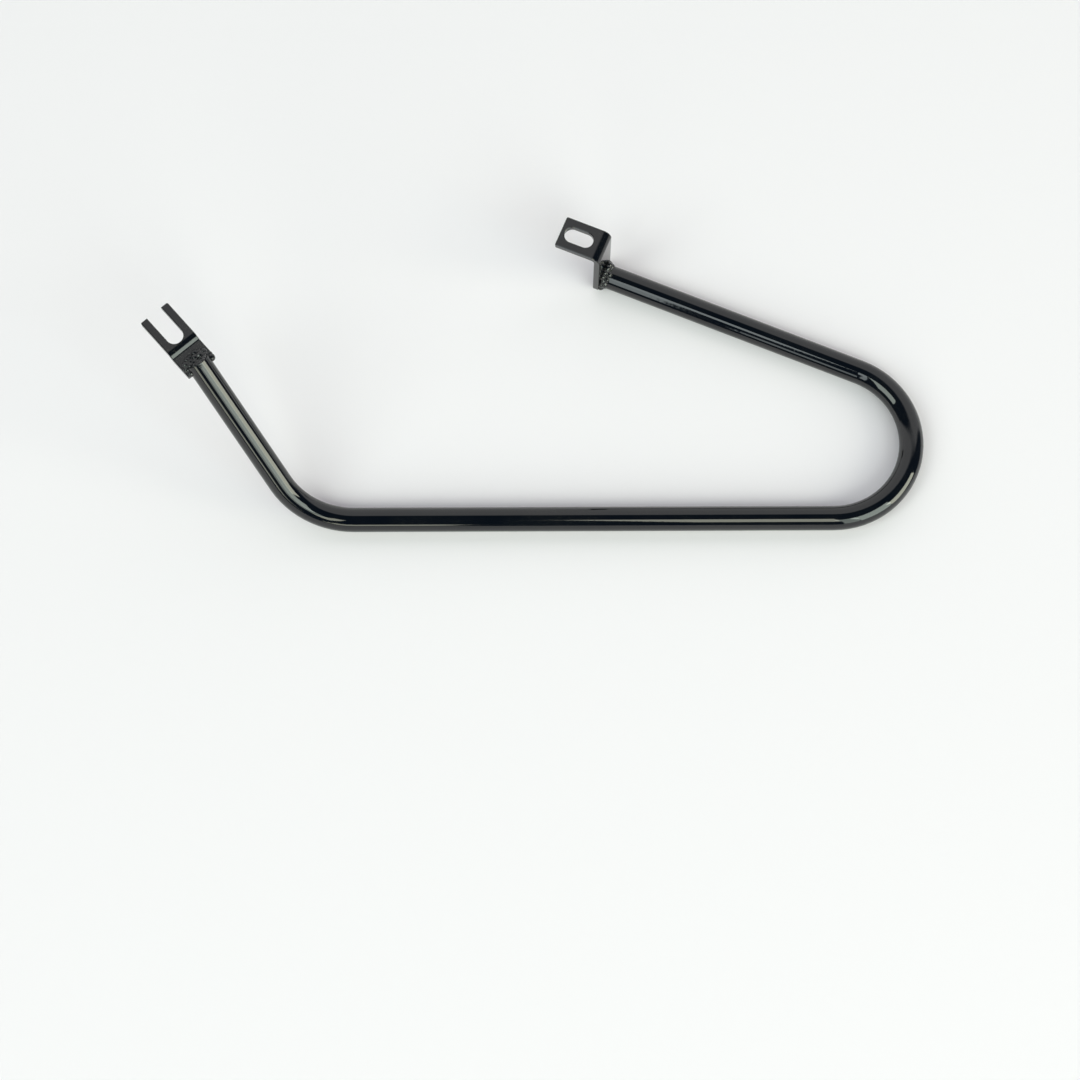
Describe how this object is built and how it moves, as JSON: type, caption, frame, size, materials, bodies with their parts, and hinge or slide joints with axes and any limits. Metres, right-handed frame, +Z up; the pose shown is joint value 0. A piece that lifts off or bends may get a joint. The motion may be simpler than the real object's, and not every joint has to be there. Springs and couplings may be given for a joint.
{
  "type": "motorcycle pannier frame",
  "caption": "Gloss black bent-tube side frame that holds a soft pannier off a motorcycle's wheel, with a welded fork bracket and a welded slotted bracket",
  "frame": {"origin": "Middle of the frame's box in X and Y, on the floor plane that the flat loop lies on.", "axes": "+X runs along the long straight run, from the fork end to the return bend; +Y from the long run to the rear leg; +Z up from the loop, the way both brackets stand."},
  "size_m": [0.5196, 0.208, 0.1047],
  "materials": {
    "black_paint": "gloss"
  },
  "bodies": {
    "root": {"tube": "black_paint", "fork_bracket": "black_paint", "slot_bracket": "black_paint", "fork_weld": "black_paint", "slot_weld": "black_paint"}
  },
  "joints": []
}
